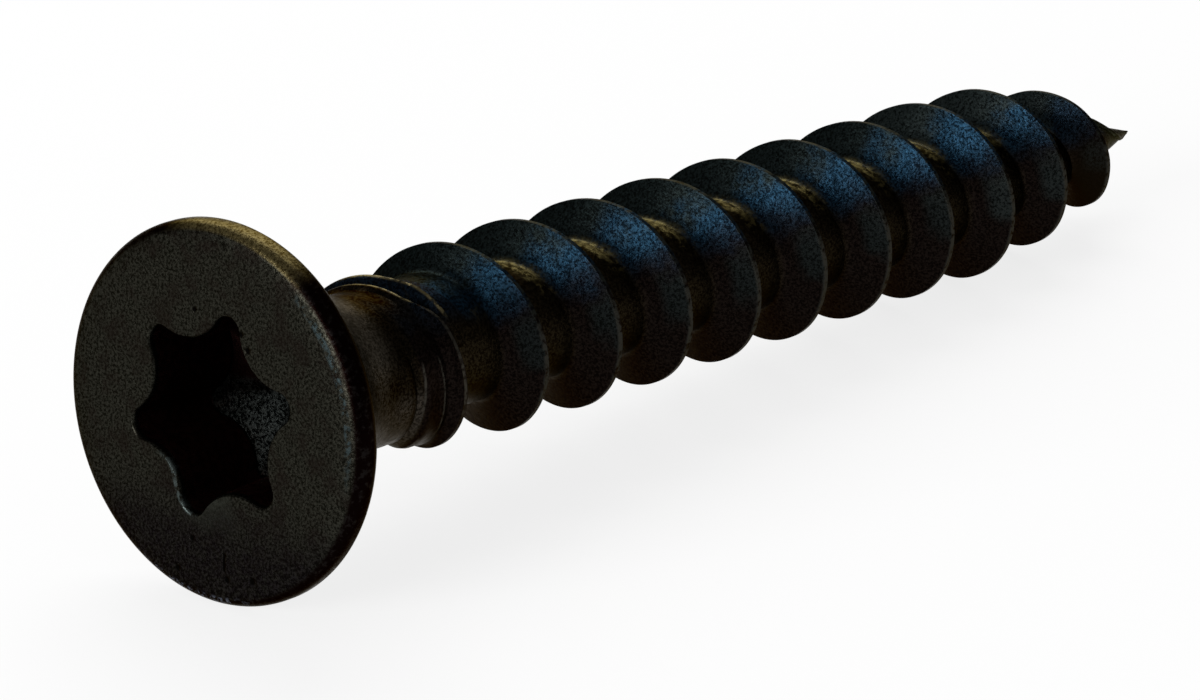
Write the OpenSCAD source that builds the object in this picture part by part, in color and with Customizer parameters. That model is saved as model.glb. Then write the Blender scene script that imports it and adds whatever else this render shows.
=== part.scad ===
// Countersunk drywall screw with a six-lobe recess and a coarse right-hand thread, in millimetres.
// It is drawn along Z with its face at zero, then laid down as it comes to rest on a flat surface:
// the rim of its head and a turn near its point touch the surface, and the point is towards +X.

/* [Head] */
// Diameter of the head
head_d = 8.2; // [7.6:0.1:9.4]
// Height of the rim, from the face to the cone under the head
rim_h = 0.55; // [0.45:0.05:0.8]
// Radius of the rounded edge between the face and the rim
edge_r = 0.3; // [0.05:0.05:0.4]
// Full angle of the cone under the head
cone_angle = 90; // [76:1:94]
// Radius of the hollow curve that joins the cone to the shank
neck_r = 3.2; // [0.6:0.1:4]

/* [Recess] */
// Size of the recess at the face, across two opposite lobes
lobe_d = 4.5; // [3.8:0.1:4.8]
// Size of the recess at the face, across two opposite ribs
rib_d = 3.3; // [2.9:0.1:3.6]
// Radius at the end of each lobe
lobe_r = 0.35; // [0.25:0.01:0.45]
// Depth of the recess's walls
recess_depth = 2.3; // [1.4:0.1:2.4]
// Slope of the recess's walls, in degrees from the screw's axis
recess_draft = 4; // [0:0.5:6]
// Depth of the hollow cone in the recess's floor
floor_dip = 0.3; // [0.1:0.05:0.6]
// Angle from the screw's underside to the first lobe
recess_turn = 12; // [0:1:59]

/* [Shank] */
// Diameter of the plain shank under the head
shank_d = 3.4; // [3:0.1:3.8]
// Length of the plain shank, from the end of the head's hollow curve
shank_len = 0.9; // [0.3:0.1:3]
// Length over which the shank narrows to the thread's core
shank_taper = 0.9; // [0.5:0.1:2]

/* [Thread] */
// Overall length, from the face to the tip
length = 34; // [26:0.5:60]
// Outer diameter of the thread
thread_d = 4.5; // [4.2:0.05:5]
// Diameter of the core between the turns
core_d = 2.8; // [2.4:0.05:2.95]
// Distance between two turns
pitch = 2.5; // [2:0.05:3.2]
// Width of the flat on the crest
crest_w = 0.12; // [0.05:0.01:0.3]
// Angle between the two flanks
flank_angle = 60; // [40:1:66]
// Distance from the face to where the crest starts, at the shank's radius
thread_start = 3.4; // [3:0.1:5]
// Length over which the crest grows to its full height
thread_runin = 6; // [1:0.1:8]
// Angle from the screw's underside to where the crest starts
thread_turn = 292; // [0:1:359]

/* [Point] */
// Full angle of the bare cone at the tip
tip_angle = 32; // [28:1:60]
// Length over which the thread's outer diameter narrows to the tip
point_len = 8; // [5:0.5:12]
// Distance from the tip to where the crest sinks into the core
thread_end = 0.6; // [0.5:0.1:2]

/* [Hidden] */

coating = [0.13, 0.13, 0.14];
head_r = head_d / 2;
shank_r = shank_d / 2;
thread_r = thread_d / 2;
core_r = core_d / 2;

// Steps of the rounded edge, of the curve under the head, of each arc of the recess and of one turn
edge_steps = 5;
neck_steps = 9;
lobe_steps = 5;
turn_steps = 40;
// Sides of the revolved body
round_sides = 96;
// How far a cutting or joining solid goes past the face it meets
overlap = 0.15;

// The lobes and the ribs of the recess are arcs that meet at a tangent
lobes = 6;
lobe_step = 360 / lobes;
half_step = lobe_step / 2;
lobe_centre = lobe_d / 2 - lobe_r;
rib_reach = rib_d / 2;
rib_r = (pow(lobe_centre, 2) + pow(rib_reach, 2) - 2 * lobe_centre * rib_reach * cos(half_step)
    - pow(lobe_r, 2)) / (2 * (lobe_r - rib_reach + lobe_centre * cos(half_step)));
rib_centre = rib_reach + rib_r;
join_angle = atan2(rib_centre * sin(half_step), rib_centre * cos(half_step) - lobe_centre);
floor_scale = 1 - recess_depth * tan(recess_draft) / (lobe_d / 2);

// The hollow curve under the head touches the cone and the shank
half_cone = cone_angle / 2;
neck_reach = shank_r + neck_r * (1 - cos(half_cone));
neck_z = rim_h + (head_r - neck_reach) / tan(half_cone) + neck_r * sin(half_cone);
shank_end = neck_z + shank_len;

// One turn's profile: places along the axis as shares of the pitch, heights as shares of the crest's height
full_height = thread_r - core_r;
crest_half = crest_w / 2;
foot_half = crest_half + full_height * tan(flank_angle / 2);
foot_fillet = 0.12;
profile_at = [for (d = [-pitch / 2, -foot_half - foot_fillet, -foot_half + foot_fillet, -crest_half,
    crest_half, foot_half - foot_fillet, foot_half + foot_fillet]) d / pitch];
profile_height = [for (d = profile_at)
    max(0, min(1, (foot_half - abs(d) * pitch) / (foot_half - crest_half)))];
columns = len(profile_at);

// The thread's rows start inside the shank, about half a turn before the crest gets to the shank's radius.
// The half row keeps the crest's corners off the shank's surface, so that the two cross cleanly.
lead_rows = 19.5;
lead_len = lead_rows / turn_steps * pitch;
lead_z = thread_start - lead_len;
rows = ceil((length + pitch / 2 - lead_z) / pitch * turn_steps);
core_point_len = 2 * core_r / tan(tip_angle / 2);
thread_fade = 0.5 * pitch;

function share(x) = max(0, min(1, x));
function eased(x) = 1 - pow(1 - share(x), 2);
function arc(centre, r, from, to, steps) =
    [for (i = [0:steps]) let (a = from + (to - from) * i / steps) centre + r * [cos(a), sin(a)]];
function turned(points, a) = [for (p = points) [p.x * cos(a) - p.y * sin(a), p.x * sin(a) + p.y * cos(a)]];

// Radius of the core and of the crest at a distance from the face
function core_at(z) = core_r * eased((length - z) / core_point_len);
function point_at(z) = thread_r * eased((length - z) / point_len);
function runin_at(z) = shank_r - (shank_r - core_r) * share((thread_start - z) / lead_len)
    + (thread_r - shank_r) * eased((z - thread_start) / thread_runin);
function crest_at(z) = core_at(z) + share((length - thread_end - z) / thread_fade)
    * max(0, min(runin_at(z), point_at(z)) - core_at(z));

// A point of the thread's surface: rows follow the helix, columns cross one turn
function row_z(i) = lead_z + pitch * i / turn_steps;
function row_angle(i) = thread_turn + 360 * (row_z(i) - thread_start) / pitch;
function cell_z(i, j) = row_z(i) + profile_at[j] * pitch;
function cell_r(i, j) = core_at(cell_z(i, j)) + profile_height[j] * (crest_at(row_z(i)) - core_at(row_z(i)));
function cell(i, j) = [cell_r(i, j) * cos(row_angle(i)), cell_r(i, j) * sin(row_angle(i)), cell_z(i, j)];

// The lying screw leans until the crest that passes its underside touches the surface with the rim
underside_crests = [for (k = [1:ceil(length / pitch) + 1])
    let (z = thread_start + pitch * (k - thread_turn / 360)) if (z > neck_z && z < length - thread_end) z];
lean = min([for (z = underside_crests) atan((head_r - crest_at(z)) / (z - rim_h))]);
axis_height = head_r * cos(lean) + rim_h * sin(lean);
reach_back = (head_r - edge_r) * sin(lean) + edge_r * (1 - cos(lean));
reach_front = length * cos(lean);

module head_and_shank() {
    rotate_extrude($fn = round_sides) polygon(concat(
        [[0, 0]],
        arc([head_r - edge_r, edge_r], edge_r, -90, 0, edge_steps),
        [[head_r, rim_h]],
        arc([shank_r + neck_r, neck_z], neck_r, 180 + half_cone, 180, neck_steps),
        [[shank_r, shank_end], [core_r - overlap, shank_end + shank_taper], [0, shank_end + shank_taper]]
    ));
}

module thread_and_point() {
    tip = rows * columns;
    heart = tip + 1;
    points = concat([for (i = [0:rows - 1], j = [0:columns - 1]) cell(i, j)],
        [[0, 0, length], [0, 0, lead_z]]);
    // The columns of one turn run on into the first column of the turn after it
    function wraps(i, j) = j == columns;
    function at(i, j) = let (row = wraps(i, j) ? i + turn_steps : i, column = wraps(i, j) ? 0 : j)
        row >= rows || cell_z(row, column) >= length ? tip : row * columns + column;
    surface = [for (i = [0:rows - 2], j = [0:columns - 1])
        each [[at(i, j), at(i, j + 1), at(i + 1, j)], [at(i + 1, j), at(i, j + 1), at(i + 1, j + 1)]]];
    start_row = [for (j = [0:columns - 1]) [heart, at(0, j + 1), at(0, j)]];
    start_turn = [for (i = [0:turn_steps - 1]) [heart, at(i, 0), at(i + 1, 0)]];
    faces = [for (f = concat(surface, start_row, start_turn))
        if (f[0] != f[1] && f[1] != f[2] && f[2] != f[0]) f];
    polyhedron(points, faces, convexity = 12);
}

module recess() {
    outline = [for (k = [0:lobes - 1]) each turned(concat(
        arc([lobe_centre, 0], lobe_r, -join_angle, join_angle, lobe_steps),
        [for (i = [1:lobe_steps - 1]) arc(rib_centre * [cos(half_step), sin(half_step)], rib_r,
            180 + join_angle, 180 + lobe_step - join_angle, lobe_steps)[i]]
    ), k * lobe_step)];
    floor_r = rib_reach * floor_scale;
    rotate([0, 0, recess_turn]) {
        translate([0, 0, -overlap])
            linear_extrude(recess_depth + overlap, scale = floor_scale) polygon(outline);
        translate([0, 0, recess_depth - overlap])
            cylinder(h = floor_dip + overlap, r1 = floor_r, r2 = 0, $fn = round_sides);
    }
}

module screw() {
    color(coating)
    translate([(reach_back - reach_front) / 2, 0, axis_height])
    rotate([0, 90 + lean, 0])
    difference() {
        union() {
            head_and_shank();
            thread_and_point();
        }
        recess();
    }
}

screw();
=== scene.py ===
"""Countersunk drywall screw lying on a pale floor: its shape, its dark finish, the light and the camera.

The screw is turned, punched and rolled along Z in millimetres, with its face at zero, then laid down
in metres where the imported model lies.
"""
import math
from types import SimpleNamespace

import bpy
import numpy as np
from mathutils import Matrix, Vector


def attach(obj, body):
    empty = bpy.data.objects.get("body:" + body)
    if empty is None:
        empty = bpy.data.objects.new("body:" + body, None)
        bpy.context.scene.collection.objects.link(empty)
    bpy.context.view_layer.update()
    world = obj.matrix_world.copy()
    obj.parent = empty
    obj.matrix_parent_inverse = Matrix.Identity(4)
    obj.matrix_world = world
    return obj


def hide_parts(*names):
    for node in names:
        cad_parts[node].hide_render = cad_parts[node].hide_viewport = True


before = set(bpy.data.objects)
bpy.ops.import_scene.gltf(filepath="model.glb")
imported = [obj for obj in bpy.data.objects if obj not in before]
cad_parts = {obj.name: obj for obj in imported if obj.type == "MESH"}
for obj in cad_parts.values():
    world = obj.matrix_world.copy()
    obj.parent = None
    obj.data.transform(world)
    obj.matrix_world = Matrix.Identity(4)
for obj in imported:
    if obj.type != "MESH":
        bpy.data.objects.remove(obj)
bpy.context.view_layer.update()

# Head, recess and shank, in millimetres
HEAD_R = 4.1
RIM_H = 0.55
EDGE_R = 0.3
HALF_CONE = math.radians(45)
NECK_R = 3.2
SHANK_R = 1.7
LOBE_D = 4.5
RIB_D = 3.3
LOBE_R = 0.35
RECESS_DEPTH = 2.3
RECESS_DRAFT = math.radians(4)
FLOOR_DIP = 0.3
RECESS_TURN = math.radians(12)

# Thread and point, in millimetres
LENGTH = 34.0
THREAD_R = 2.25
CORE_R = 1.4
PITCH = 2.5
CREST_W = 0.12
HALF_FLANK = math.radians(30)
THREAD_START = 3.4
THREAD_RUNIN = 6.0
THREAD_TURN = 292.0
TIP_ANGLE = math.radians(32)
POINT_LEN = 8.0

# How the screw lies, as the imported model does
LEAN = math.radians(4.108633)
AXIS_BACK = -16.819794
AXIS_HEIGHT = 4.128869
TILT = math.radians(90) + LEAN

NECK_REACH = SHANK_R + NECK_R * (1 - math.cos(HALF_CONE))
NECK_END = RIM_H + (HEAD_R - NECK_REACH) / math.tan(HALF_CONE) + NECK_R * math.sin(HALF_CONE)
CORE_POINT_LEN = 2 * CORE_R / math.tan(TIP_ANGLE / 2)

# Fineness of the head, the punch and one turn of the thread
ROUND_SIDES = 192
PUNCH_SIDES = 240
TURN_STEPS = 112
# How much wider the punch is above the face than its outline at the face
PUNCH_FLARE = 1.06


# ---- hand tools -------------------------------------------------------------------------------

def put_down():
    """Leaves edit mode and lets go of everything."""
    if bpy.context.mode != "OBJECT":
        bpy.ops.object.mode_set(mode="OBJECT")
    bpy.ops.object.select_all(action="DESELECT")


def take(piece):
    """Holds one piece alone, in object mode."""
    put_down()
    piece.select_set(True)
    bpy.context.view_layer.objects.active = piece


def work_on(piece):
    """Opens a piece in edit mode with nothing picked."""
    take(piece)
    bpy.ops.object.mode_set(mode="EDIT")
    bpy.ops.mesh.select_mode(type="VERT")
    bpy.ops.mesh.select_all(action="DESELECT")


def finish_modifier(piece, name):
    """Makes a modifier's result the piece's own shape."""
    take(piece)
    bpy.ops.object.modifier_apply(modifier=name)


def pull_rings(rings):
    """Pulls the picked end of the open piece on through rings of radius and distance."""
    radius, along = rings[0]
    for new_radius, new_along in rings[1:]:
        bpy.ops.mesh.extrude_region_move(TRANSFORM_OT_translate={"value": (0, 0, new_along - along)})
        grow = new_radius / radius
        bpy.ops.transform.resize(value=(grow, grow, 1), center_override=(0, 0, new_along))
        radius, along = new_radius, new_along


def face_outwards():
    """Turns every face of the open piece outwards."""
    bpy.ops.mesh.select_all(action="SELECT")
    bpy.ops.mesh.normals_make_consistent(inside=False)


def weld(distance):
    """Joins the points of the open piece that lie this close together."""
    bpy.ops.mesh.select_all(action="SELECT")
    bpy.ops.mesh.remove_doubles(threshold=distance)


def share(x):
    """Held between nothing and one."""
    return np.clip(x, 0.0, 1.0)


def eased(x):
    """A share that rises fast, then slows down."""
    return 1 - (1 - share(x)) ** 2


def soft_step(x):
    """A share that starts and stops softly."""
    x = share(x)
    return x * x * (3 - 2 * x)


def bump(x, middle, width):
    """One at the middle, fading to nothing on both sides."""
    return np.exp(-((x - middle) / width) ** 2)


# ---- head, neck and recess ----------------------------------------------------------------------

def arc(centre, radius, start, end, steps):
    """Points of an arc between two angles, in degrees."""
    angles = [math.radians(start + (end - start) * i / steps) for i in range(steps + 1)]
    return [(centre[0] + radius * math.cos(a), centre[1] + radius * math.sin(a)) for a in angles]


def head_rings():
    """Radius and distance of each ring, from the middle of the face to inside the thread."""
    face = [(3.1, 0.0), (3.3, 0.0), (3.45, 0.003), (3.6, 0.01), (3.7, 0.022)]
    edge = arc((HEAD_R - EDGE_R, EDGE_R + 0.03), EDGE_R, -82, 0, 7)
    rim = [(HEAD_R, RIM_H - 0.06), (HEAD_R - 0.012, RIM_H - 0.015), (HEAD_R - 0.045, RIM_H + 0.045)]
    cone = [(HEAD_R - 0.5, RIM_H + 0.5), (NECK_REACH + 0.3, RIM_H + HEAD_R - NECK_REACH - 0.3)]
    neck = arc((SHANK_R + NECK_R, NECK_END), NECK_R, 225, 180, 14)
    end = [(SHANK_R, NECK_END + 0.08), (SHANK_R - 0.15, NECK_END + 0.2), (SHANK_R - 0.5, NECK_END + 0.3)]
    return face + edge + rim + cone + neck + end


def turn_head():
    """The head, its hollow neck and the start of the shank."""
    rings = head_rings()
    put_down()
    bpy.ops.mesh.primitive_circle_add(vertices=ROUND_SIDES, radius=rings[0][0], fill_type="NGON")
    head = bpy.context.object
    head.name = "drywall_screw"
    bpy.ops.object.mode_set(mode="EDIT")
    bpy.ops.mesh.select_all(action="SELECT")
    pull_rings(rings)
    face_outwards()
    put_down()
    return head


def recess_reach(angle):
    """Radius of the six-lobe outline at an angle from the middle of a lobe, in radians."""
    half = math.pi / 6
    lobe_centre = LOBE_D / 2 - LOBE_R
    rib_reach = RIB_D / 2
    rib_r = ((lobe_centre ** 2 + rib_reach ** 2 - 2 * lobe_centre * rib_reach * math.cos(half) - LOBE_R ** 2)
             / (2 * (LOBE_R - rib_reach + lobe_centre * math.cos(half))))
    rib_centre = rib_reach + rib_r
    join = math.atan2(rib_centre * math.sin(half), rib_centre * math.cos(half) - lobe_centre)
    join_at = math.atan2(LOBE_R * math.sin(join), lobe_centre + LOBE_R * math.cos(join))
    a = abs((angle + half) % (2 * half) - half)
    if a < join_at:
        return lobe_centre * math.cos(a) + math.sqrt(LOBE_R ** 2 - (lobe_centre * math.sin(a)) ** 2)
    b = half - a
    return rib_centre * math.cos(b) - math.sqrt(rib_r ** 2 - (rib_centre * math.sin(b)) ** 2)


def make_punch():
    """The six-lobe punch: it flares at the face, narrows down its walls and ends in a shallow dish."""
    taper = math.tan(RECESS_DRAFT) / (LOBE_D / 2)
    put_down()
    bpy.ops.mesh.primitive_circle_add(vertices=PUNCH_SIDES, radius=1.0, fill_type="NGON",
                                      location=(0, 0, -0.3))
    punch = bpy.context.object
    bpy.ops.object.transform_apply(location=True, rotation=True, scale=True)
    for v in punch.data.vertices:
        around = math.atan2(v.co.y, v.co.x)
        reach = recess_reach(around - RECESS_TURN)
        v.co.x, v.co.y = reach * math.cos(around), reach * math.sin(around)
    bpy.ops.object.mode_set(mode="EDIT")
    bpy.ops.mesh.select_all(action="SELECT")
    rings = [(PUNCH_FLARE, -0.3), (1.055, -0.02), (1.032, 0.0), (1.015, 0.022), (1.004, 0.06), (0.998, 0.12)]
    bpy.ops.transform.resize(value=(PUNCH_FLARE, PUNCH_FLARE, 1), center_override=(0, 0, 0))
    rings += [(1 - taper * at, at) for at in (0.6, 1.2, 1.8, RECESS_DEPTH - 0.05)]
    bottom = 1 - taper * RECESS_DEPTH
    rings += [(bottom - 0.012, RECESS_DEPTH - 0.01), (bottom - 0.05, RECESS_DEPTH)]
    rings += [(0.66 * bottom, RECESS_DEPTH + 0.08), (0.35 * bottom, RECESS_DEPTH + 0.2)]
    rings += [(0.02, RECESS_DEPTH + FLOOR_DIP)]
    pull_rings(rings)
    face_outwards()
    put_down()
    return punch


# ---- thread ---------------------------------------------------------------------------------------

# Places of the profile's points across one pitch, closest together at the crest
ONE_SIDE = [0.06, 0.11, 0.17, 0.24, 0.32, 0.4, 0.48, 0.55, 0.62, 0.7, 0.8, 0.9, 1.0, 1.12, 1.25]
PROFILE_AT = [-d for d in reversed(ONE_SIDE)] + [0.0] + ONE_SIDE
# The thread starts inside the shank, this far before its crest gets to the shank's surface
THREAD_LEAD = 1.2
# Draws the slow unevenness of the crest
ROLL_SEED = 4
# The points this near the tip are drawn together in it
TIP_BLUNT = 0.04
# Where the crest has sunk into the core, and the length over which it sinks
CREST_END = 32.9
CREST_FADE = 0.8
# The rolls leave the first turns a little uneven, and the last one full before it breaks off: the height,
# the distance from the face and the width of each swelling or dip of the crest
FIRST_TURNS = ((-0.03, 6.3, 0.4), (-0.07, 6.38, 0.12), (0.05, 7.1, 0.5), (-0.02, 8.65, 0.5))
LAST_TURNS = ((0.16, 30.8, 0.6), (0.14, 31.7, 0.5), (-0.05, 28.8, 0.5))


def neck_radius(z):
    """Radius of the neck's hollow curve, and of the shank beyond it."""
    before_end = np.minimum(np.maximum(NECK_END - z, 0), NECK_R - 0.1)
    return SHANK_R + NECK_R - np.sqrt(NECK_R ** 2 - before_end ** 2)


def core_radius(z):
    """Radius of the core between the turns, down to the tip."""
    return CORE_R * eased((LENGTH - z) / CORE_POINT_LEN)


def swollen(radius, z, swellings):
    """A radius with a row of swellings and dips added to it."""
    for height, middle, width in swellings:
        radius = radius + height * bump(z, middle, width)
    return radius


def crest_radius(z):
    """Radius of the crest where it passes a distance, from its run-in to the tip."""
    grown = SHANK_R + (THREAD_R - SHANK_R) * eased((z - THREAD_START) / THREAD_RUNIN)
    grown = grown - 0.6 * share((THREAD_START - z) / THREAD_LEAD)
    grown = swollen(grown, z, FIRST_TURNS)
    point = swollen(THREAD_R * eased((LENGTH - z) / POINT_LEN), z, LAST_TURNS)
    core = core_radius(z)
    return core + soft_step((CREST_END - z) / CREST_FADE) * np.maximum(0, np.minimum(grown, point) - core)


def uneven(along, around, seed):
    """A slow unevenness between about -1 and 1, as rolling leaves."""
    rng = np.random.default_rng(seed)
    total = np.zeros_like(along)
    for k in range(7):
        a, b, c = rng.uniform(-1, 1, 3)
        total += np.sin(along * (2 + 3 * a) * 2 + (k + 2) * around + 6.3 * c) * (0.6 + 0.4 * b)
    return total / 4


def pressed(crest_z):
    """How far the rolls have pressed the metal down to the core behind a crest, from 0 to 1."""
    return soft_step((crest_z - 4.5) / 1.7)


def first_turn(crest_z, d, crest):
    """The terrace on the headward side of the first turn, and the lip whose crest runs off beside it.

    d is how far a point lies beyond the nearest crest, towards the tip.
    """
    later = soft_step((crest_z - 5.65) / 0.5)
    height = 0.06 * soft_step((crest_z - 4.9) / 0.5) + 0.14 * soft_step((crest_z - 5.8) / 0.4)
    height = height * (1 - soft_step((crest_z - 6.2) / 0.3))
    terrace = height * soft_step(0.5 + (d + 0.92 + 0.05 * later) / (0.1 + 0.16 * later)) * (d < 0)
    begun = soft_step((crest_z - 5.45) / 0.2) * (1 - soft_step((crest_z - 6.4) / 0.4))
    terrace = terrace - begun * (0.06 * bump(d, -1.12, 0.07) - 0.025 * bump(d, -0.38, 0.05))
    away = soft_step((crest_z - 5.12) / 0.34)
    lip = crest + 0.02 - 0.3 * soft_step((crest_z - 5.24) / 0.24)
    lip = lip - (np.sqrt((d - 0.05 - 0.5 * away) ** 2 + 0.08 ** 2) - 0.08) / math.tan(HALF_FLANK)
    return terrace, np.where(crest_z < 5.6, lip, 0)


def thread_surface(z, around):
    """Radius of the rolled surface, as arrays of distance and angle from the underside, in degrees."""
    turn_at = THREAD_START + PITCH * (around - THREAD_TURN) / 360
    crest_z = turn_at + PITCH * np.round((z - turn_at) / PITCH)
    d = z - crest_z
    core, crest = core_radius(z), crest_radius(crest_z)
    # The plain shank gives way to the core where the first turn has been pressed
    behind, ahead = pressed(crest_z - PITCH), pressed(crest_z)
    depth = behind + (ahead - behind) * soft_step(0.5 + d / 0.3)
    body = np.minimum(neck_radius(z) - (SHANK_R - CORE_R) * depth, np.where(depth > 0.999, core, 9.0))
    terrace, lip = first_turn(crest_z, d, crest)
    # The crest starts as a low lip on the headward side, and comes to its place near the camera's side
    low = 1 - soft_step((crest_z - 5.28) / 0.2)
    ridge = crest - 0.12 * low - np.maximum(0, np.abs(d + 0.25 * low) - CREST_W / 2) / math.tan(HALF_FLANK)
    rolled = share(0.5 + 0.5 * uneven(z, np.radians(around), ROLL_SEED))
    ridge = ridge - 0.012 * rolled * share((crest - core) / 0.4)
    return np.minimum(fillet(fillet(body + terrace, ridge, 0.15), lip, 0.06), THREAD_R)


def fillet(low, high, soft):
    """The higher of two surfaces, run together in a hollow."""
    mix = share(0.5 + 0.5 * (high - low) / soft)
    return low + (high - low) * mix + soft * mix * (1 - mix)


def draw_profile():
    """One pitch of the thread as a chain of edges, each drawn on from the last."""
    put_down()
    bpy.ops.mesh.primitive_plane_add(size=1)
    profile = bpy.context.object
    bpy.ops.object.mode_set(mode="EDIT")
    bpy.ops.mesh.select_all(action="SELECT")
    bpy.ops.mesh.merge(type="CENTER")
    bpy.ops.transform.translate(value=(THREAD_R, 0, PROFILE_AT[0]))
    for here, there in zip(PROFILE_AT, PROFILE_AT[1:]):
        bpy.ops.mesh.extrude_vertices_move(TRANSFORM_OT_translate={"value": (0, 0, there - here)})
    put_down()
    return profile


def screw_profile(profile, lead_z):
    """Winds the profile along the axis, from the start of the thread to past the tip."""
    take(profile)
    profile.rotation_euler = (0, 0, math.radians(THREAD_TURN - 360 * THREAD_LEAD / PITCH))
    profile.location = (0, 0, lead_z)
    bpy.ops.object.transform_apply(location=True, rotation=True, scale=True)
    bpy.ops.object.modifier_add(type="SCREW")
    winding = profile.modifiers[-1]
    winding.axis = "Z"
    winding.screw_offset = PITCH
    winding.angle = math.radians(360)
    winding.iterations = math.ceil((LENGTH + PITCH - lead_z) / PITCH)
    winding.steps = winding.render_steps = TURN_STEPS
    winding.use_smooth_shade = False
    finish_modifier(profile, winding.name)


def roll_thread():
    """The profile screwed along the axis, then pressed to the run-in, the core and the point."""
    thread = draw_profile()
    screw_profile(thread, THREAD_START - THREAD_LEAD)
    work_on(thread)
    weld(0.002)
    put_down()
    press_thread(thread)
    close_thread(thread)
    return thread


def press_thread(thread):
    """Moves each point of the screwed profile in or out to the radius that it has on the real thread."""
    count = len(thread.data.vertices)
    place = np.zeros(count * 3)
    thread.data.vertices.foreach_get("co", place)
    place = place.reshape(-1, 3)
    angle = np.arctan2(place[:, 1], place[:, 0])
    z = place[:, 2]
    radius = thread_surface(z, np.degrees(angle) % 360)
    # The rolled part comes out of the turned neck at a slight angle, and stays inside it near the head
    radius = radius + (0.025 * soft_step((z - 3.6) / 0.6) - 0.02) * (z < 4.6)
    radius = np.where(z < 3.0, np.minimum(radius, 1.5), radius)
    blunt = z > LENGTH - TIP_BLUNT
    place[:, 0] = np.where(blunt, 0, radius * np.cos(angle))
    place[:, 1] = np.where(blunt, 0, radius * np.sin(angle))
    place[:, 2] = np.where(blunt, LENGTH, z)
    thread.data.vertices.foreach_set("co", place.ravel())
    thread.data.update()


def close_thread(thread):
    """Joins the tip's points and draws the open start in to the axis."""
    work_on(thread)
    weld(0.0005)
    bpy.ops.mesh.select_all(action="DESELECT")
    bpy.ops.mesh.select_mode(type="EDGE")
    bpy.ops.mesh.select_non_manifold(extend=False, use_wire=False, use_boundary=True,
                                     use_multi_face=False, use_non_contiguous=False, use_verts=False)
    bpy.ops.mesh.extrude_edges_move(TRANSFORM_OT_translate={"value": (0, 0, 0)})
    bpy.ops.mesh.merge(type="CENTER")
    bpy.ops.mesh.select_mode(type="VERT")
    face_outwards()
    bpy.ops.mesh.dissolve_degenerate(threshold=0.00001)
    put_down()


def join_metal(piece, other, how):
    """Joins a second body to a piece or cuts it away, and drops it."""
    take(piece)
    bpy.ops.object.modifier_add(type="BOOLEAN")
    cut = piece.modifiers[-1]
    cut.operation = how
    cut.solver = "EXACT"
    cut.object = other
    finish_modifier(piece, cut.name)
    take(other)
    bpy.ops.object.delete()


def lay_down(screw):
    """Turns the upright screw in millimetres to where it lies, in metres."""
    take(screw)
    screw.rotation_euler = (0, TILT, 0)
    screw.scale = (0.001,) * 3
    screw.location = (AXIS_BACK / 1000, 0, AXIS_HEIGHT / 1000)
    bpy.ops.object.transform_apply(location=True, rotation=True, scale=True)


def build_screw():
    """The whole screw: head and thread in one, the recess punched, laid down and shaded smooth."""
    screw = turn_head()
    join_metal(screw, roll_thread(), "UNION")
    join_metal(screw, make_punch(), "DIFFERENCE")
    lay_down(screw)
    take(screw)
    bpy.ops.object.shade_smooth_by_angle(angle=math.radians(32))
    bpy.ops.object.modifier_add(type="WEIGHTED_NORMAL")
    screw.modifiers[-1].keep_sharp = True
    finish_modifier(screw, screw.modifiers[-1].name)
    return screw


# ---- finish ---------------------------------------------------------------------------------------

# Tones of the coating, painted highlights and painted shade among them. A pair holds the tone of the grain's
# dark spots, then that of its light ones.
FLANK_DARK = (0.0022, 0.0014, 0.0012), (0.0092, 0.0064, 0.0054)
FLANK_PITS, FLANK_SCUFFS = (0.0012, 0.0030, 0.0052), (0.0014, 0.0034, 0.0056)
FLANK_BLUE_HIGHLIGHT, POINT_BLUE_HIGHLIGHT = (0.0080, 0.0230, 0.0400), (0.0104, 0.0315, 0.0560)
FLANK_GREY_SHEEN = (0.0026, 0.0035, 0.0032), (0.0112, 0.0160, 0.0160)
POINT_GREY_SHEEN = (0.0190, 0.0250, 0.0245)
LAST_TURN = (0.0050, 0.0032, 0.0012)
VALLEY = (0.0042, 0.0027, 0.0015), (0.0180, 0.0136, 0.0074)
VALLEY_SHADE = (0.0020, 0.0013, 0.0008)
VALLEY_GOLD_HIGHLIGHT = (0.0420, 0.0300, 0.0100), (0.2700, 0.2200, 0.0850)
BARE_CREST, RUBBED_CREST = (0.019, 0.021, 0.018), (0.028, 0.027, 0.023)
THIN_LIP, LIP_HIGHLIGHT = (0.036, 0.033, 0.027), (0.115, 0.095, 0.048)
BARE_POINT = (0.0080, 0.0080, 0.0040), (0.0320, 0.0325, 0.0180)
SHANK = (0.0060, 0.0048, 0.0036), (0.0380, 0.0320, 0.0255)
SHANK_DIM = (0.0022, 0.0015, 0.0009), (0.0116, 0.0087, 0.0053)
NECK_HIGHLIGHT = (0.0270, 0.0234, 0.0178), (0.1020, 0.0890, 0.0705)
RIM_GOLD_HIGHLIGHT = (0.0290, 0.0205, 0.0070), (0.1040, 0.0830, 0.0360)
RIM_BROWN = (0.0022, 0.0008, 0.0007), (0.0085, 0.0070, 0.0066)
RIM_CORNER = (0.0120, 0.0080, 0.0045)
FACE = (0.0036, 0.0035, 0.0024), (0.0215, 0.0212, 0.0165)
FACE_STAIN, FACE_WORN = (0.0082, 0.0058, 0.0048), (0.0230, 0.0250, 0.0200)
FACE_LOW = (0.0022, 0.0017, 0.0018), (0.0110, 0.0095, 0.0100)
FACE_EDGE_HIGHLIGHT, CHIP, DENT = (0.024, 0.034, 0.036), (0.10, 0.11, 0.14), (0.0014, 0.0013, 0.0012)
RECESS_FLOOR = (0.0004, 0.0005, 0.0005), (0.0098, 0.0112, 0.0106)
RECESS_SHADE, RECESS_WALL = (0.0026, 0.0010, 0.0009), (0.0500, 0.0140, 0.0120)
RECESS_MOUTH = (0.042, 0.052, 0.050)
EDGE_TINT = (0.5, 0.48, 0.45, 1)

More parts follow.
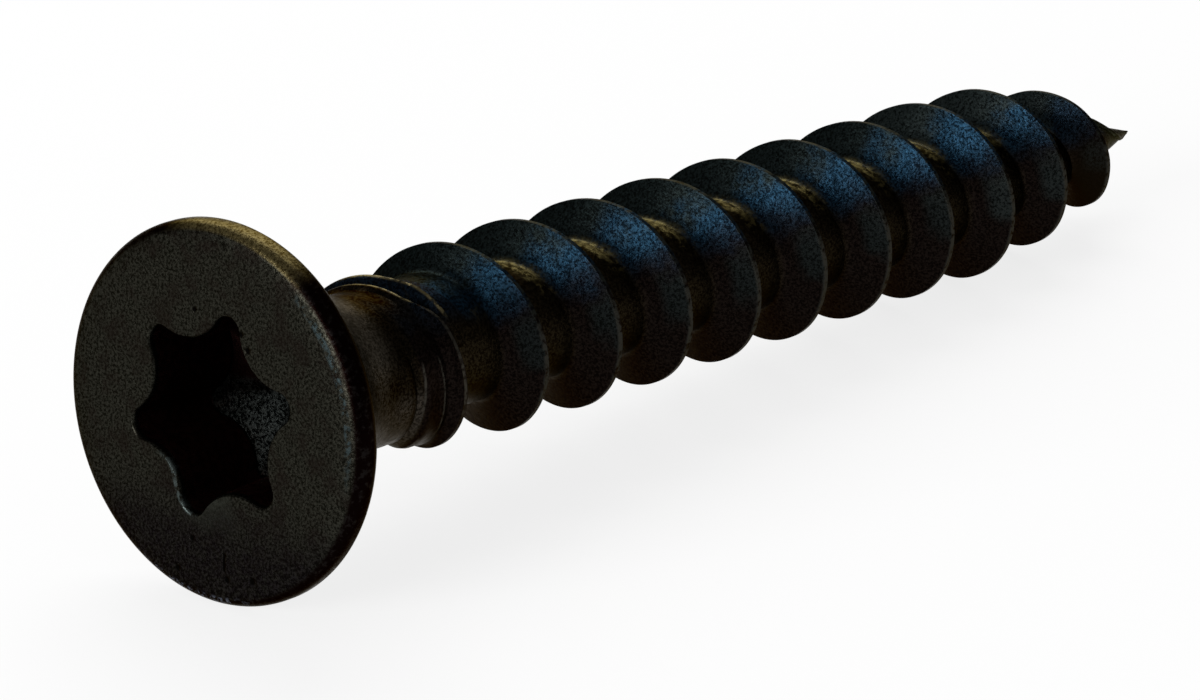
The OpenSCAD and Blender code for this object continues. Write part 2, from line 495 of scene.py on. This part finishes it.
# Small dents of the face, as distance below its middle, distance to the far side, and size
DENTS = ((-2.2, 0.5, 0.09), (-1.95, -0.8, 0.1), (-1.65, -1.0, 0.1), (2.75, 0.4, 0.1),
         (3.42, -0.6, 0.1), (3.28, -1.3, 0.12), (3.5, 0.8, 0.1))


class Wiring:
    """Wires up the nodes of one material, or of the room."""

    def __init__(self, owner):
        owner.use_nodes = True
        self.tree = owner.node_tree
        self.tree.nodes.clear()

    def set_input(self, node, key, value):
        if isinstance(value, bpy.types.NodeSocket):
            self.tree.links.new(value, node.inputs[key])
        else:
            node.inputs[key].default_value = value

    def add(self, kind, inputs=None, **settings):
        """Adds a node, sets it up and gives it its inputs, each a value or another node's output."""
        made = self.tree.nodes.new(kind)
        for key, value in settings.items():
            setattr(made, key, value)
        for key, value in (inputs or {}).items():
            self.set_input(made, key, value)
        return made

    def calc(self, kind, *values):
        return self.add("ShaderNodeMath", dict(enumerate(values)), operation=kind).outputs[0]

    def plus(self, one, other):
        return self.calc("ADD", one, other)

    def minus(self, one, other):
        return self.calc("SUBTRACT", one, other)

    def over(self, one, other):
        return self.calc("DIVIDE", one, other)

    def times(self, first, *others):
        for other in others:
            first = self.calc("MULTIPLY", first, other)
        return first

    def most(self, first, *others):
        for other in others:
            first = self.calc("MAXIMUM", first, other)
        return first

    def ramp(self, value, low, high, to_low=0.0, to_high=1.0):
        """A smooth change of one value into another range."""
        return self.add("ShaderNodeMapRange", {"Value": value, "From Min": low, "From Max": high,
                                               "To Min": to_low, "To Max": to_high},
                        interpolation_type="SMOOTHSTEP").outputs["Result"]

    def band(self, value, start, full, fade, end):
        """One between full and fade, nothing before start and after end."""
        return self.times(self.ramp(value, start, full), self.ramp(value, fade, end, 1, 0))

    def blend(self, amount, under, over):
        """Lays one colour over another by an amount."""
        made = self.add("ShaderNodeMix", {0: amount}, data_type="RGBA", clamp_factor=True)
        for key, value in ((6, under), (7, over)):
            self.set_input(made, key, (*value, 1.0) if isinstance(value, tuple) else value)
        return made.outputs[2]

    def mottle(self, place, scale, detail, rough):
        return self.add("ShaderNodeTexNoise", {"Vector": place, "Scale": scale, "Detail": detail,
                                               "Roughness": rough}).outputs["Fac"]


def measures(f):
    """Where a point of the surface is on the upright screw, in millimetres and radians, and its mottling."""
    place = f.add("ShaderNodeTexCoord").outputs["Object"]
    c, s = math.cos(-TILT), math.sin(-TILT)
    x, z = -AXIS_BACK, -AXIS_HEIGHT
    upright = f.add("ShaderNodeMapping", {"Vector": place, "Scale": (1000,) * 3, "Rotation": (0, -TILT, 0),
                                          "Location": (x * c + z * s, 0, -x * s + z * c)},
                    vector_type="POINT").outputs[0]
    down, side, along = f.add("ShaderNodeSeparateXYZ", {0: upright}).outputs
    reach = f.calc("SQRT", f.plus(f.times(down, down), f.times(side, side)))
    around = f.calc("ARCTAN2", side, down)
    turns = f.over(f.minus(along, THREAD_START), PITCH)
    turned = f.over(f.minus(around, math.radians(THREAD_TURN)), 2 * math.pi)
    # The half turn puts the crest in the middle of the phase, and the whole turns keep it above nothing
    phase = f.calc("FRACT", f.plus(f.minus(turns, turned), 20.5))
    off_crest = f.times(f.minus(phase, 0.5), PITCH)
    return SimpleNamespace(
        down=down, side=side, along=along, reach=reach, around=around,
        high=f.over(f.times(down, -1.0), reach), near=f.over(f.times(side, -1.0), reach),
        off_crest=off_crest, crest_z=f.minus(along, off_crest),
        fine=f.mottle(upright, 7.0, 5.0, 0.65), coarse=f.mottle(upright, 1.3, 4.0, 0.6),
        grain=f.mottle(upright, 16.0, 3.0, 0.8))


def start_share(f, m):
    """One on the thread's first turn and nothing from the second on."""
    return f.ramp(m.crest_z, 6.2, 7.0, 1, 0)


def flank_share(f, m):
    """One on the headward flanks, in the first valley and on the first turn's terrace."""
    flank = f.band(m.off_crest, -0.78, -0.46, 0.05, 0.12)
    ahead = f.times(f.ramp(m.off_crest, 0.06, 0.12), f.ramp(m.crest_z, 5.38, 5.55, 1, 0))
    behind = f.times(f.ramp(m.off_crest, -0.48, -0.34, 1, 0), f.band(m.crest_z, 6.3, 6.5, 7.88, 8.05))
    terrace = f.times(f.band(m.off_crest, -1.0, -0.92, -0.2, -0.1), f.ramp(m.crest_z, 6.4, 6.8, 1, 0))
    return f.most(flank, ahead, behind, terrace)


def flank_colours(f, m):
    """Painted highlight: steel-blue at the top and nearly black below, with painted grey sheen at the very
    top, on the far side and beside the crest at mid height.
    """
    wavy = f.calc("MULTIPLY_ADD", f.minus(m.coarse, 0.5), 0.6, m.high)
    dark = f.blend(f.ramp(m.grain, 0.42, 0.60), *FLANK_DARK)
    shine = f.blend(f.ramp(m.crest_z, 19.0, 26.0), FLANK_BLUE_HIGHLIGHT, POINT_BLUE_HIGHLIGHT)
    blue = f.blend(f.ramp(m.grain, 0.40, 0.58), FLANK_PITS, shine)
    blue = f.blend(f.ramp(m.fine, 0.54, 0.64, 0, 0.6), blue, FLANK_SCUFFS)
    grey = f.blend(f.ramp(m.grain, 0.40, 0.58), *FLANK_GREY_SHEEN)
    grey = f.blend(f.times(f.ramp(m.crest_z, 22.5, 25.5), f.ramp(m.grain, 0.38, 0.60)), grey, POINT_GREY_SHEEN)
    # Painted highlight: the steel-blue shows on the flanks' upper side, and less of it towards the point.
    steel = f.times(f.ramp(wavy, 0.36, 0.84), f.ramp(m.crest_z, 26.5, 30.8, 1, 0.45))
    # Painted sheen: grey on the upper part of the far side, and beside the crest at mid height below the
    # blue.
    far = f.times(f.ramp(m.near, 0.0, 0.3, 1, 0), f.ramp(m.high, 0.3, 0.6))
    wear_and_sheen = f.times(f.band(m.off_crest, -0.42, -0.25, -0.06, 0.0), f.band(wavy, -0.25, 0.05, 0.3, 0.55), 0.65)
    last = f.times(f.ramp(m.crest_z, 30.2, 31.0, 0, 0.9), f.ramp(m.high, 0.35, 0.75, 1, 0))
    colour = f.blend(steel, dark, blue)
    colour = f.blend(f.most(f.ramp(wavy, 0.84, 1.06), far), colour, grey)
    colour = f.blend(wear_and_sheen, colour, grey)
    colour = f.blend(last, colour, LAST_TURN)
    # The first turn carries half of the painted steel-blue highlight on its upper side.
    return f.blend(start_share(f, m), colour, f.blend(f.ramp(wavy, 0.5, 0.9, 0, 0.5), dark, blue))


def valley_colours(f, m):
    """A brown core with painted shade on its lower side, and a painted gold highlight at the top beside the
    foot of each flank.
    """
    deep = f.blend(f.ramp(m.grain, 0.42, 0.60), *VALLEY)
    # Painted shade: the core is darker on the screw's lower side.
    deep = f.blend(f.ramp(m.high, -0.7, -0.2, 0.5, 0), deep, VALLEY_SHADE)
    gold = f.blend(f.ramp(m.fine, 0.38, 0.60), *VALLEY_GOLD_HIGHLIGHT)
    # Painted highlight: gold at the top of each valley, with a speckled trail of it further round.
    foot = f.times(f.band(m.off_crest, -1.0, -0.80, -0.50, -0.40), f.ramp(m.high, 0.74, 0.94))
    trail = f.times(f.ramp(m.fine, 0.50, 0.60, 0, 0.5), f.ramp(m.high, 0.5, 0.95),
                    f.band(m.off_crest, -1.1, -0.9, -0.6, -0.5))
    return f.blend(start_share(f, m), f.blend(f.most(foot, trail), deep, gold), deep)


def first_lips(f, m):
    """The two lips at the top of the thread's start, which carry a painted highlight, and the three thin
    ones further round.
    """
    low = f.ramp(m.crest_z, 5.28, 5.48, -0.25, 0.0)
    away = f.ramp(m.crest_z, 5.12, 5.46, 0.05, 0.55)
    one = f.band(f.minus(m.off_crest, low), -0.06, -0.03, 0.03, 0.06)
    other = f.band(f.minus(m.off_crest, away), -0.07, -0.03, 0.03, 0.07)
    bright = f.most(f.times(one, f.band(m.crest_z, 4.9, 5.05, 5.28, 5.36)),
                    f.times(other, f.band(m.crest_z, 4.9, 5.0, 5.40, 5.46)))
    edge = f.calc("MULTIPLY_ADD", m.crest_z, 0.4, m.off_crest)
    thin = f.most(f.band(edge, 1.33, 1.36, 1.38, 1.41), f.band(m.off_crest, -0.42, -0.39, -0.36, -0.33))
    thin = f.times(thin, f.band(m.crest_z, 5.6, 5.66, 5.95, 6.1))
    return bright, f.most(thin, f.times(one, f.band(m.crest_z, 5.36, 5.42, 5.85, 6.0)))


def crest_lines(f, m, colour):
    """A broken bare line along the crest, brighter on the screw's lower half, and the first turn's lips, two
    with a painted gold highlight.
    """
    grown = f.ramp(m.crest_z, 6.2, 6.8)
    bare = f.times(f.band(m.off_crest, -0.08, -0.04, 0.04, 0.08), f.ramp(m.fine, 0.44, 0.60), grown)
    rubbed = f.times(f.band(m.off_crest, -0.09, -0.05, 0.04, 0.08), f.band(m.high, -0.7, -0.3, 0.2, 0.5),
                     f.ramp(m.fine, 0.36, 0.54, 0, 0.8), grown)
    bright, thin = first_lips(f, m)
    colour = f.blend(bare, colour, BARE_CREST)
    colour = f.blend(rubbed, colour, RUBBED_CREST)
    colour = f.blend(f.times(thin, f.ramp(m.fine, 0.40, 0.55, 0.2, 1)), colour, THIN_LIP)
    # Painted highlight: gold on the two lips at the top of the thread's start.
    return f.blend(f.times(bright, f.ramp(m.fine, 0.38, 0.50, 0.2, 1)), colour, LIP_HIGHLIGHT)


def thread_colours(f, m):
    """Flanks, valleys and crests, and the bare point."""
    colour = f.blend(flank_share(f, m), valley_colours(f, m), flank_colours(f, m))
    colour = crest_lines(f, m, colour)
    point = f.blend(f.ramp(m.grain, 0.40, 0.60), *BARE_POINT)
    return f.blend(f.ramp(m.along, 32.3, 32.7), colour, point)


def shank_colours(f, m, colour):
    """A taupe neck and shank, with a painted highlight on the neck's top beside the head, and dim towards
    the thread.
    """
    shank = f.blend(f.ramp(m.grain, 0.40, 0.60), *SHANK)
    pale = f.blend(f.ramp(m.grain, 0.40, 0.60), *NECK_HIGHLIGHT)
    dim = f.blend(f.ramp(m.grain, 0.42, 0.62), *SHANK_DIM)
    shank = f.blend(f.times(f.ramp(m.along, 3.2, 3.9), f.ramp(m.high, -0.25, 0.05)), shank, dim)
    # Painted highlight: pale on the top of the neck beside the head.
    shank = f.blend(f.times(f.ramp(m.along, 3.2, 4.25, 1, 0), f.ramp(m.high, 0.1, 0.6)), shank, pale)
    by_lip = f.times(f.ramp(m.crest_z, 5.2, 5.6, 1, 0), f.ramp(m.off_crest, -0.3, -0.24, 1, 0))
    by_terrace = f.times(f.ramp(m.crest_z, 6.2, 6.4, 1, 0), f.ramp(m.off_crest, -1.02, -0.94, 1, 0))
    return f.blend(f.most(by_lip, by_terrace, f.ramp(m.along, 4.4, 4.8, 1, 0)), colour, shank)


def rim_colours(f, m, colour):
    """A brown-black rim with a painted gold highlight at the top."""
    gold = f.blend(f.ramp(m.grain, 0.38, 0.60), *RIM_GOLD_HIGHLIGHT)
    brown = f.blend(f.ramp(m.fine, 0.50, 0.66), *RIM_BROWN)
    brown = f.blend(f.ramp(m.along, 0.44, 0.52), brown, RIM_CORNER)
    # Painted highlight: gold on the rim's top.
    rim = f.blend(f.times(f.band(m.near, -0.4, -0.15, 0.42, 0.6), f.ramp(m.high, 0.5, 0.7)), brown, gold)
    return f.blend(f.ramp(m.along, 0.6, 0.75, 1, 0), colour, rim)


def face_colours(f, m, colour):
    """A speckled grey-green face, stained, darker low down and with wear under the recess."""
    disc = f.blend(f.ramp(m.grain, 0.42, 0.58), *FACE)
    disc = f.blend(f.ramp(m.coarse, 0.46, 0.66, 0.0, 0.6), disc, FACE_STAIN)
    wear_and_sheen = f.times(f.ramp(m.reach, 2.2, 2.7, 1, 0), f.band(m.around, -0.45, -0.2, 0.15, 0.4))
    disc = f.blend(f.times(wear_and_sheen, f.ramp(m.fine, 0.4, 0.6, 0.3, 0.9)), disc, FACE_WORN)
    low = f.calc("MULTIPLY_ADD", f.minus(m.coarse, 0.5), 1.6, m.down)
    disc = f.blend(f.times(f.ramp(low, 1.2, 3.1), f.ramp(m.fine, 0.36, 0.60, 0.6, 1.0)), disc,
                   f.blend(f.ramp(m.grain, 0.44, 0.62), *FACE_LOW))
    face = f.times(f.ramp(m.along, 0.14, 0.26, 1, 0), f.ramp(m.reach, 3.88, 3.98, 1, 0))
    return f.blend(face, colour, disc)


def face_chips_and_highlight(f, m, colour):
    """A bluish painted highlight just inside the face's near edge, and bare chips on its lower edge."""
    # Painted highlight: the face's near edge where it rolls over into the rim.
    edge_highlight = f.times(f.band(m.reach, 3.66, 3.74, 3.80, 3.88), f.ramp(m.along, 0.2, 0.3, 1, 0),
                       f.band(m.around, -2.6, -2.35, -1.7, -1.3), f.ramp(m.fine, 0.46, 0.60))
    chips = f.times(f.band(m.around, -0.35, -0.1, 0.35, 0.6), f.ramp(m.reach, 3.85, 3.95),
                    f.ramp(m.along, 0.25, 0.35, 1, 0), f.ramp(m.fine, 0.50, 0.60))
    return f.blend(chips, f.blend(edge_highlight, colour, FACE_EDGE_HIGHLIGHT), CHIP)


def recess_colours(f, m, colour):
    """Near-black walls, a mottled floor and a mouth that bits have rubbed on one side."""
    # Close to the mouth's outline: a wave of six about a circle
    six = f.times(f.minus(m.around, RECESS_TURN), 6.0)
    beyond = f.minus(m.reach, f.calc("MULTIPLY_ADD", f.calc("COSINE", six), 0.3, 1.93))
    hollow = f.times(f.ramp(m.reach, 2.26, 2.30, 1, 0), f.ramp(m.along, 2.36, 2.4, 1, 0))
    bottom = f.times(f.ramp(m.reach, 1.5, 1.6, 1, 0), f.ramp(m.along, 2.7, 2.75, 1, 0))
    hollow = f.times(f.most(hollow, bottom), f.ramp(m.along, 0.1, 0.2))
    speckle = f.calc("MULTIPLY_ADD", m.grain, 0.75, f.times(m.fine, 0.25))
    floor = f.blend(f.ramp(speckle, 0.46, 0.56), *RECESS_FLOOR)
    floor = f.blend(f.ramp(m.down, -0.15, 0.1), RECESS_SHADE, floor)
    colour = f.blend(hollow, colour, f.blend(f.ramp(m.along, 2.2, 2.28), RECESS_WALL, floor))
    rubbed = f.times(f.band(beyond, -0.06, -0.02, 0.06, 0.12), f.ramp(m.along, 0.12, 0.2, 1, 0),
                     f.band(m.around, 0.1, 0.25, 0.75, 0.95), f.ramp(m.fine, 0.44, 0.56))
    return f.blend(rubbed, colour, RECESS_MOUTH)


def spot(f, m, down, side, size):
    """One at a small dent or chip of the face, and nothing past its size."""
    x, y = f.minus(m.down, down), f.minus(m.side, side)
    off = f.calc("SQRT", f.plus(f.times(x, x), f.times(y, y)))
    return f.ramp(off, 0.35 * size, size, 1, 0)


def face_dents(f, m):
    """The dents and the scratch that the face has picked up."""
    scratch = f.times(f.band(m.side, -0.56, -0.52, -0.49, -0.45), f.band(m.down, 2.8, 2.9, 3.2, 3.3))
    dents = f.most(f.ramp(m.fine, 0.70, 0.74), *[spot(f, m, *dent) for dent in DENTS], scratch)
    return f.times(dents, f.ramp(m.along, 0.05, 0.1, 1, 0))


def black_finish():
    """A thin dark conversion coating on steel, rubbed and mottled from handling, with painted highlights and
    painted shade in its colour.
    """
    material = bpy.data.materials.new("black_coating_worn_painted_light")
    f = Wiring(material)
    m = measures(f)
    dents = face_dents(f, m)
    colour = thread_colours(f, m)
    for layer in (shank_colours, rim_colours, face_colours, face_chips_and_highlight, recess_colours):
        colour = layer(f, m, colour)
    colour = f.blend(dents, colour, DENT)
    height = f.minus(m.grain, f.times(dents, 2.0))
    relief = f.add("ShaderNodeBump", {"Strength": 0.6, "Distance": 0.00001, "Height": height}).outputs[0]
    relief = f.add("ShaderNodeBump", {"Strength": 0.3, "Distance": 0.00003, "Height": m.fine,
                                      "Normal": relief}).outputs[0]
    metal = f.add("ShaderNodeBsdfPrincipled", {
        "Base Color": colour, "Metallic": 1.0, "Roughness": f.ramp(m.fine, 0.3, 0.7, 0.27, 0.42),
        "Specular Tint": EDGE_TINT, "Normal": relief})
    f.add("ShaderNodeOutputMaterial", {0: metal.outputs[0]})
    return material


# ---- studio ---------------------------------------------------------------------------------------

# The camera as it was fitted to the photograph, in metres and radians
CAMERA_AT = (-0.0939342, -0.0729118, 0.0449179)
CAMERA_HEADING, CAMERA_DOWN = 0.68154, 0.35583
PICTURE_WIDTH, LENS_IN_PIXELS, FILM_WIDTH = 1200, 5505.36, 36.0

FLOOR_SIZE = 6.0
WHITE_SHARE = 0.8
ROOM_LIGHT = 0.3


def lay_floor():
    """A pale floor that stays white to the eye and in reflections, and keeps the screw's soft shadow."""
    put_down()
    bpy.ops.mesh.primitive_plane_add(size=FLOOR_SIZE, location=(0, 0, 0))
    floor = bpy.context.object
    floor.name = "floor"
    material = bpy.data.materials.new("pale_floor")
    w = Wiring(material)
    matt = w.add("ShaderNodeBsdfDiffuse", {"Color": (0.9, 0.9, 0.9, 1)}).outputs[0]
    white = w.add("ShaderNodeEmission", {"Strength": 1.0}).outputs[0]
    rays = w.add("ShaderNodeLightPath").outputs
    seen = w.most(rays["Is Camera Ray"], rays["Is Transmission Ray"], rays["Is Glossy Ray"])
    mix = w.add("ShaderNodeMixShader", {0: w.times(seen, WHITE_SHARE), 1: matt, 2: white}).outputs[0]
    w.add("ShaderNodeOutputMaterial", {0: mix})
    floor.data.materials.append(material)


def light_room():
    """A pale room, white behind the screw."""
    world = bpy.data.worlds.new("pale_room")
    bpy.context.scene.world = world
    w = Wiring(world)
    room = w.add("ShaderNodeBackground", {"Color": (1, 1, 1, 1), "Strength": ROOM_LIGHT}).outputs[0]
    white = w.add("ShaderNodeBackground", {"Strength": 1.0}).outputs[0]
    seen = w.add("ShaderNodeLightPath").outputs["Is Camera Ray"]
    mix = w.add("ShaderNodeMixShader", {0: seen, 1: room, 2: white}).outputs[0]
    w.add("ShaderNodeOutputWorld", {0: mix})


def hang_light(name, direction, distance, width, height, brightness):
    """A soft box that faces the screw from a direction. Brightness is what a mirror would show of it."""
    put_down()
    place = Vector(direction).normalized() * distance
    bpy.ops.object.light_add(type="AREA", location=place)
    lamp = bpy.context.object
    lamp.name = name
    lamp.data.shape = "RECTANGLE"
    lamp.data.size = width
    lamp.data.size_y = height
    lamp.data.energy = brightness * math.pi * width * height
    lamp.rotation_euler = (-place).to_track_quat("-Z", "Y").to_euler()


def light_studio():
    """One soft box on the left for the face, one behind and above for the thread's top."""
    hang_light("left_box", (-0.96, 0.02, 0.28), distance=0.5, width=0.3, height=0.2, brightness=14.0)
    hang_light("back_box", (0.497, 0.552, 0.669), distance=0.5, width=0.44, height=0.5, brightness=3.4)


def set_camera():
    """The photograph's view: level, from beyond the head and above, with a long lens."""
    put_down()
    bpy.ops.object.camera_add(location=CAMERA_AT)
    camera = bpy.context.object
    level = math.cos(CAMERA_DOWN)
    forward = Vector((level * math.cos(CAMERA_HEADING), level * math.sin(CAMERA_HEADING),
                      -math.sin(CAMERA_DOWN)))
    camera.rotation_euler = forward.to_track_quat("-Z", "Y").to_euler()
    camera.data.sensor_fit = "HORIZONTAL"
    camera.data.sensor_width = FILM_WIDTH
    camera.data.lens = FILM_WIDTH * LENS_IN_PIXELS / PICTURE_WIDTH
    camera.data.clip_start = 0.005
    camera.data.clip_end = 20.0
    bpy.context.scene.camera = camera


set_camera()
light_room()
lay_floor()
light_studio()
screw = build_screw()
screw.data.materials.clear()
screw.data.materials.append(black_finish())
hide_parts("screw")
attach(screw, "root")
bpy.context.scene.view_settings.view_transform = "Standard"
